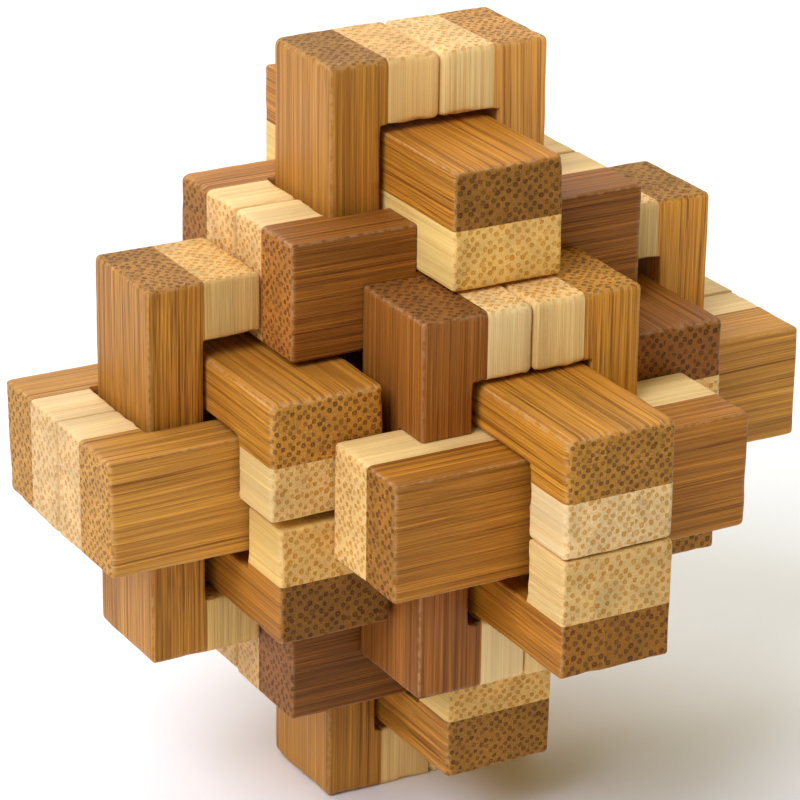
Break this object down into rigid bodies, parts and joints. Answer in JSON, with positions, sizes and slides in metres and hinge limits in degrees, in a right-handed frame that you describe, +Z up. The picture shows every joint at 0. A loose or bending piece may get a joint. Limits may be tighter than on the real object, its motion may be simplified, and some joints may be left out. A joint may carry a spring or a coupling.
{
  "type": "wooden burr puzzle",
  "caption": "Interlocking burr puzzle of notched two-tone bamboo sticks crossing in three directions, held shut by two plain sliding key sticks.",
  "frame": {"origin": "centre of the footprint, at the bottom end faces of the two long upright sticks that it stands on", "axes": "+X along the cross sticks, to the right; +Y along the depth sticks, away from the front key; +Z up, along the upright sticks"},
  "size_m": [0.0776, 0.0776, 0.0776],
  "materials": {
    "dark_bamboo": "sanded, satin oil, steamed brown bamboo with fine parallel fibres",
    "light_bamboo": "sanded, satin oil, natural pale bamboo with fine parallel fibres"
  },
  "bodies": {
    "upright_long_left": {"upright_long_left_dark": "dark_bamboo", "upright_long_left_legs": "light_bamboo"},
    "upright_long_right": {"upright_long_right_dark": "dark_bamboo", "upright_long_right_legs": "light_bamboo"},
    "upright_front_left": {"upright_front_left_dark": "dark_bamboo", "upright_front_left_legs": "light_bamboo"},
    "upright_front_right": {"upright_front_right_dark": "dark_bamboo", "upright_front_right_legs": "light_bamboo"},
    "upright_back_left": {"upright_back_left_dark": "dark_bamboo", "upright_back_left_legs": "light_bamboo"},
    "upright_back_right": {"upright_back_right_dark": "dark_bamboo", "upright_back_right_legs": "light_bamboo"},
    "upright_outer_left": {"upright_outer_left_dark": "dark_bamboo", "upright_outer_left_legs": "light_bamboo"},
    "upright_outer_right": {"upright_outer_right_dark": "dark_bamboo", "upright_outer_right_legs": "light_bamboo"},
    "cross_long_front": {"cross_long_front_dark": "dark_bamboo", "cross_long_front_legs": "light_bamboo"},
    "cross_long_back": {"cross_long_back_dark": "dark_bamboo", "cross_long_back_legs": "light_bamboo"},
    "cross_top_front": {"cross_top_front_dark": "dark_bamboo", "cross_top_front_legs": "light_bamboo"},
    "cross_top_back": {"cross_top_back_dark": "dark_bamboo", "cross_top_back_legs": "light_bamboo"},
    "cross_bottom_front": {"cross_bottom_front_dark": "dark_bamboo", "cross_bottom_front_legs": "light_bamboo"},
    "cross_bottom_back": {"cross_bottom_back_dark": "dark_bamboo", "cross_bottom_back_legs": "light_bamboo"},
    "key_front": {"key_front_dark": "dark_bamboo", "key_front_light": "light_bamboo"},
    "cross_outer_back": {"cross_outer_back_dark": "dark_bamboo", "cross_outer_back_legs": "light_bamboo"},
    "depth_long_top": {"depth_long_top_dark": "dark_bamboo", "depth_long_top_legs": "light_bamboo"},
    "depth_long_bottom": {"depth_long_bottom_dark": "dark_bamboo", "depth_long_bottom_legs": "light_bamboo"},
    "depth_left_top": {"depth_left_top_dark": "dark_bamboo", "depth_left_top_legs": "light_bamboo"},
    "depth_left_bottom": {"depth_left_bottom_dark": "dark_bamboo", "depth_left_bottom_legs": "light_bamboo"},
    "depth_right_top": {"depth_right_top_dark": "dark_bamboo", "depth_right_top_legs": "light_bamboo"},
    "depth_right_bottom": {"depth_right_bottom_dark": "dark_bamboo", "depth_right_bottom_legs": "light_bamboo"},
    "key_top": {"key_top_dark": "dark_bamboo", "key_top_light": "light_bamboo"},
    "depth_outer_bottom": {"depth_outer_bottom_dark": "dark_bamboo", "depth_outer_bottom_legs": "light_bamboo"}
  },
  "joints": [
    {"name": "upright_long_right_play", "type": "slide", "parent": "upright_long_left", "child": "upright_long_right", "axis": [0, 1, 0], "range_m": [-0.00085, 0.00025]},
    {"name": "upright_front_left_play", "type": "slide", "parent": "upright_long_left", "child": "upright_front_left", "axis": [1, 0, 0], "range_m": [-0.0005, 0.00005]},
    {"name": "upright_front_right_play", "type": "slide", "parent": "upright_long_left", "child": "upright_front_right", "axis": [1, 0, 0], "range_m": [-0.00005, 0.00075]},
    {"name": "upright_back_left_play", "type": "slide", "parent": "upright_long_left", "child": "upright_back_left", "axis": [0, 1, 0], "range_m": [-0.00005, 0.0017]},
    {"name": "upright_back_right_play", "type": "slide", "parent": "upright_long_left", "child": "upright_back_right", "axis": [0, 1, 0], "range_m": [-0.00005, 0.0017]},
    {"name": "upright_outer_left_play", "type": "slide", "parent": "upright_long_left", "child": "upright_outer_left", "axis": [0, 0, 1], "range_m": [-0.0017, 0.0001]},
    {"name": "upright_outer_right_play", "type": "slide", "parent": "upright_long_left", "child": "upright_outer_right", "axis": [0, 0, 1], "range_m": [-0.0017, 0.0001]},
    {"name": "cross_long_front_play", "type": "slide", "parent": "upright_long_left", "child": "cross_long_front", "axis": [1, 0, 0], "range_m": [-0.00085, 0.00025]},
    {"name": "cross_long_back_play", "type": "slide", "parent": "upright_long_left", "child": "cross_long_back", "axis": [1, 0, 0], "range_m": [-0.00085, 0.00025]},
    {"name": "cross_top_front_play", "type": "slide", "parent": "upright_long_left", "child": "cross_top_front", "axis": [0, 0, 1], "range_m": [-0.00045, 0.00005]},
    {"name": "cross_top_back_play", "type": "slide", "parent": "upright_long_left", "child": "cross_top_back", "axis": [0, 0, 1], "range_m": [-0.00045, 0.00005]},
    {"name": "cross_bottom_front_play", "type": "slide", "parent": "upright_long_left", "child": "cross_bottom_front", "axis": [0, 0, 1], "range_m": [-0.0005, 0.00045]},
    {"name": "cross_bottom_back_play", "type": "slide", "parent": "upright_long_left", "child": "cross_bottom_back", "axis": [0, 0, 1], "range_m": [-0.0005, 0.00045]},
    {"name": "key_front_slide", "type": "slide", "parent": "upright_front_left", "child": "key_front", "axis": [1, 0, 0], "range_m": [-0.0318, 0.0311]},
    {"name": "cross_outer_back_play", "type": "slide", "parent": "upright_long_left", "child": "cross_outer_back", "axis": [1, 0, 0], "range_m": [-0.0013, 0.0013]},
    {"name": "depth_long_top_play", "type": "slide", "parent": "upright_long_left", "child": "depth_long_top", "axis": [0, 1, 0], "range_m": [-0.00005, 0.00105]},
    {"name": "depth_long_bottom_play", "type": "slide", "parent": "upright_long_left", "child": "depth_long_bottom", "axis": [0, 1, 0], "range_m": [-0.00005, 0.00105]},
    {"name": "depth_left_top_play", "type": "slide", "parent": "upright_long_left", "child": "depth_left_top", "axis": [1, 0, 0], "range_m": [-0.0003, 0.00145]},
    {"name": "depth_left_bottom_play", "type": "slide", "parent": "upright_long_left", "child": "depth_left_bottom", "axis": [1, 0, 0], "range_m": [-0.0012, 0.0005]},
    {"name": "depth_right_top_play", "type": "slide", "parent": "upright_long_left", "child": "depth_right_top", "axis": [1, 0, 0], "range_m": [-0.00075, 0.001]},
    {"name": "depth_right_bottom_play", "type": "slide", "parent": "upright_long_left", "child": "depth_right_bottom", "axis": [1, 0, 0], "range_m": [-0.00075, 0.001]},
    {"name": "key_top_slide", "type": "slide", "parent": "upright_long_left", "child": "key_top", "axis": [0, 1, 0], "range_m": [-0.032, 0.031]},
    {"name": "depth_outer_bottom_play", "type": "slide", "parent": "upright_long_left", "child": "depth_outer_bottom", "axis": [0, 1, 0], "range_m": [-0.0013, 0.0013]}
  ]
}
